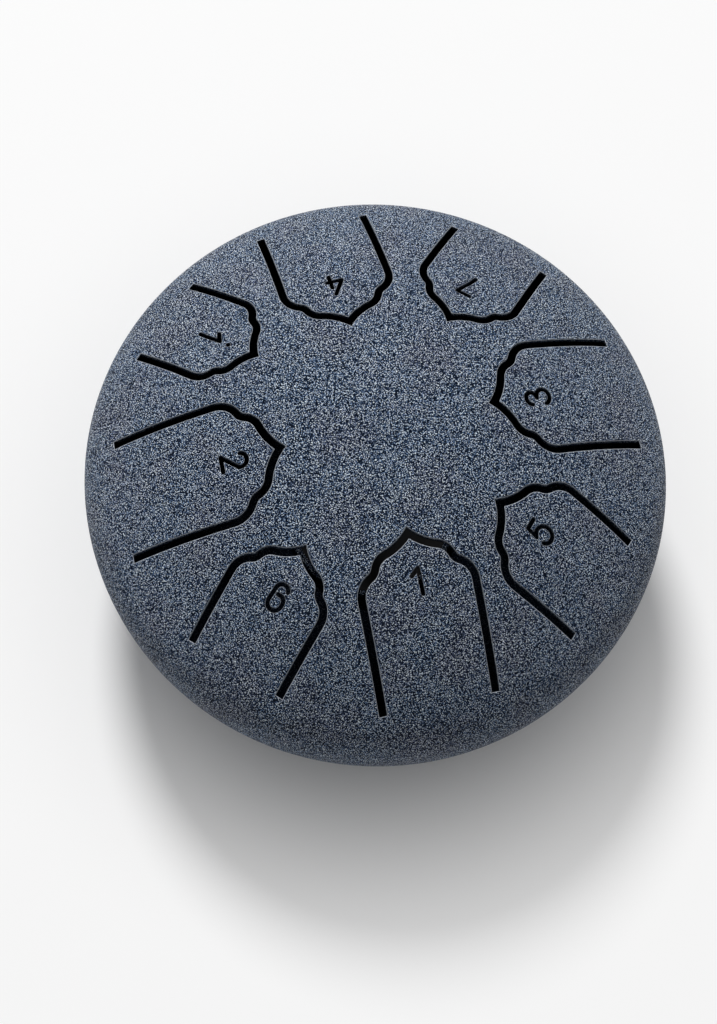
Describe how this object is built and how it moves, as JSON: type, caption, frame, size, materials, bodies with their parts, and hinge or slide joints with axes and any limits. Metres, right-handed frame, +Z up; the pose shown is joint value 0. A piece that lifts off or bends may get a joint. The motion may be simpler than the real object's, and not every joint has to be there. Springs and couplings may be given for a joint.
{
  "type": "steel tongue drum",
  "caption": "Palm-sized steel tongue drum: welded, powder-coated steel shells, lotus-headed sprung tongues cut in the dome, a turned-in sound hole below, and rubber feet.",
  "frame": {"origin": "on the drum's axis, level with the bottoms of the feet, so the drum stands on z = 0", "axes": "+Z up along the drum's axis of revolution; -Y towards tongue 1, the front"},
  "size_m": [0.105, 0.105, 0.0594],
  "materials": {
    "coated_steel": "fine-grained textured powder coat in steel blue, over pressed sheet steel",
    "rubber": "matt black moulded rubber",
    "tape": "thin double-sided adhesive foam disc"
  },
  "bodies": {
    "shell": {"top_shell": "coated_steel", "bottom_shell": "coated_steel", "weld_seam": "coated_steel", "foot_back": "rubber", "foot_left": "rubber", "foot_right": "rubber", "foot_tape_back": "tape", "foot_tape_left": "tape", "foot_tape_right": "tape"},
    "tongue_1": {"tongue_1": "coated_steel"},
    "tongue_2": {"tongue_2": "coated_steel"},
    "tongue_3": {"tongue_3": "coated_steel"},
    "tongue_4": {"tongue_4": "coated_steel"},
    "tongue_5": {"tongue_5": "coated_steel"},
    "tongue_6": {"tongue_6": "coated_steel"},
    "tongue_7": {"tongue_7": "coated_steel"},
    "tongue_high_1": {"tongue_high_1": "coated_steel"}
  },
  "joints": [
    {"name": "tongue_1_bend", "type": "hinge", "parent": "shell", "child": "tongue_1", "pos_m": [0, -0.04567, 0.04153], "axis": [-1, 0, 0], "range_deg": [-1, 1], "stiffness_Nm_per_rad": 61.5},
    {"name": "tongue_2_bend", "type": "hinge", "parent": "shell", "child": "tongue_2", "pos_m": [-0.04549, 0.00199, 0.04161], "axis": [0.0436, 0.999, 0], "range_deg": [-1, 1], "stiffness_Nm_per_rad": 63.6},
    {"name": "tongue_3_bend", "type": "hinge", "parent": "shell", "child": "tongue_3", "pos_m": [0.0456, 0.00239, 0.04153], "axis": [0.0523, -0.9986, 0], "range_deg": [-1, 1], "stiffness_Nm_per_rad": 65.2},
    {"name": "tongue_4_bend", "type": "hinge", "parent": "shell", "child": "tongue_4", "pos_m": [-0.0016, 0.04573, 0.04148], "axis": [0.9994, 0.0349, 0], "range_deg": [-1, 1], "stiffness_Nm_per_rad": 64.3},
    {"name": "tongue_5_bend", "type": "hinge", "parent": "shell", "child": "tongue_5", "pos_m": [0.03257, -0.03201, 0.04153], "axis": [-0.7009, -0.7133, 0], "range_deg": [-1, 1], "stiffness_Nm_per_rad": 75.6},
    {"name": "tongue_6_bend", "type": "hinge", "parent": "shell", "child": "tongue_6", "pos_m": [-0.033, -0.03187, 0.04141], "axis": [-0.6947, 0.7193, 0], "range_deg": [-1, 1], "stiffness_Nm_per_rad": 70.7},
    {"name": "tongue_7_bend", "type": "hinge", "parent": "shell", "child": "tongue_7", "pos_m": [0.03068, 0.03408, 0.04142], "axis": [0.7431, -0.6691, 0], "range_deg": [-1, 1], "stiffness_Nm_per_rad": 71.6},
    {"name": "tongue_high_1_bend", "type": "hinge", "parent": "shell", "child": "tongue_high_1", "pos_m": [-0.03139, 0.03366, 0.04132], "axis": [0.7314, 0.682, 0], "range_deg": [-1, 1], "stiffness_Nm_per_rad": 69.1}
  ]
}
